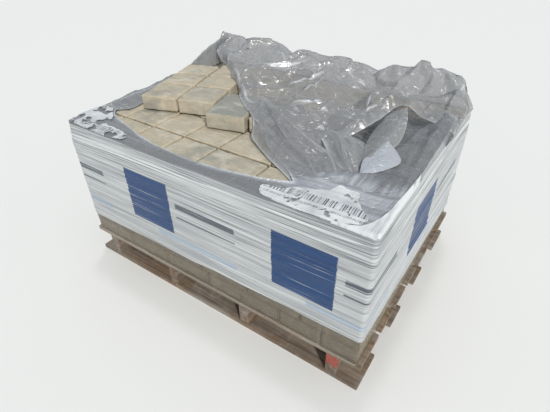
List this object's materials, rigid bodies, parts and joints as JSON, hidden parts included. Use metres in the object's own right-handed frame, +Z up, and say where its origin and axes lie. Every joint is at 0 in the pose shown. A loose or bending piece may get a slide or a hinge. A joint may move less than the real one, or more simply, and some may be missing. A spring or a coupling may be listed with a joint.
{
  "type": "pallet of paving stones",
  "caption": "Timber pallet loaded with tumbled concrete paving stones, held by clear film and white stretch wrap that is torn open on top.",
  "frame": {"origin": "on the floor under the middle of the pallet", "axes": "X along the pallet's long side and its boards, Y along its short side and its stringers, Z up"},
  "size_m": [1.219, 0.9142, 0.7393],
  "materials": {
    "timber": "weathered, rough sawn",
    "paving_stone": "tumbled, matte",
    "white_film": "white stretch film, pleated",
    "clear_film": "clear film, crumpled"
  },
  "bodies": {
    "root": {"bottom_board_1": "timber", "bottom_board_2": "timber", "bottom_board_3": "timber", "bottom_board_4": "timber", "clear_film": "clear_film", "deck_board_1": "timber", "deck_board_2": "timber", "deck_board_3": "timber", "deck_board_4": "timber", "deck_board_5": "timber", "deck_board_6": "timber", "deck_board_7": "timber", "loose_stone_1": "paving_stone", "loose_stone_2": "paving_stone", "loose_stone_3": "paving_stone", "loose_stone_4": "paving_stone", "loose_stone_5": "paving_stone", "loose_stone_6": "paving_stone", "loose_stone_7": "paving_stone", "loose_stone_8": "paving_stone", "stone_layer_1": "paving_stone", "stone_layer_2": "paving_stone", "stone_layer_3": "paving_stone", "stone_layer_4": "paving_stone", "stone_layer_5": "paving_stone", "stone_layer_6": "paving_stone", "stone_layer_7": "paving_stone", "stone_layer_8": "paving_stone", "stretch_wrap": "white_film", "stringer_1": "timber", "stringer_2": "timber", "stringer_3": "timber", "stringer_4": "timber", "torn_film": "clear_film"}
  },
  "joints": []
}
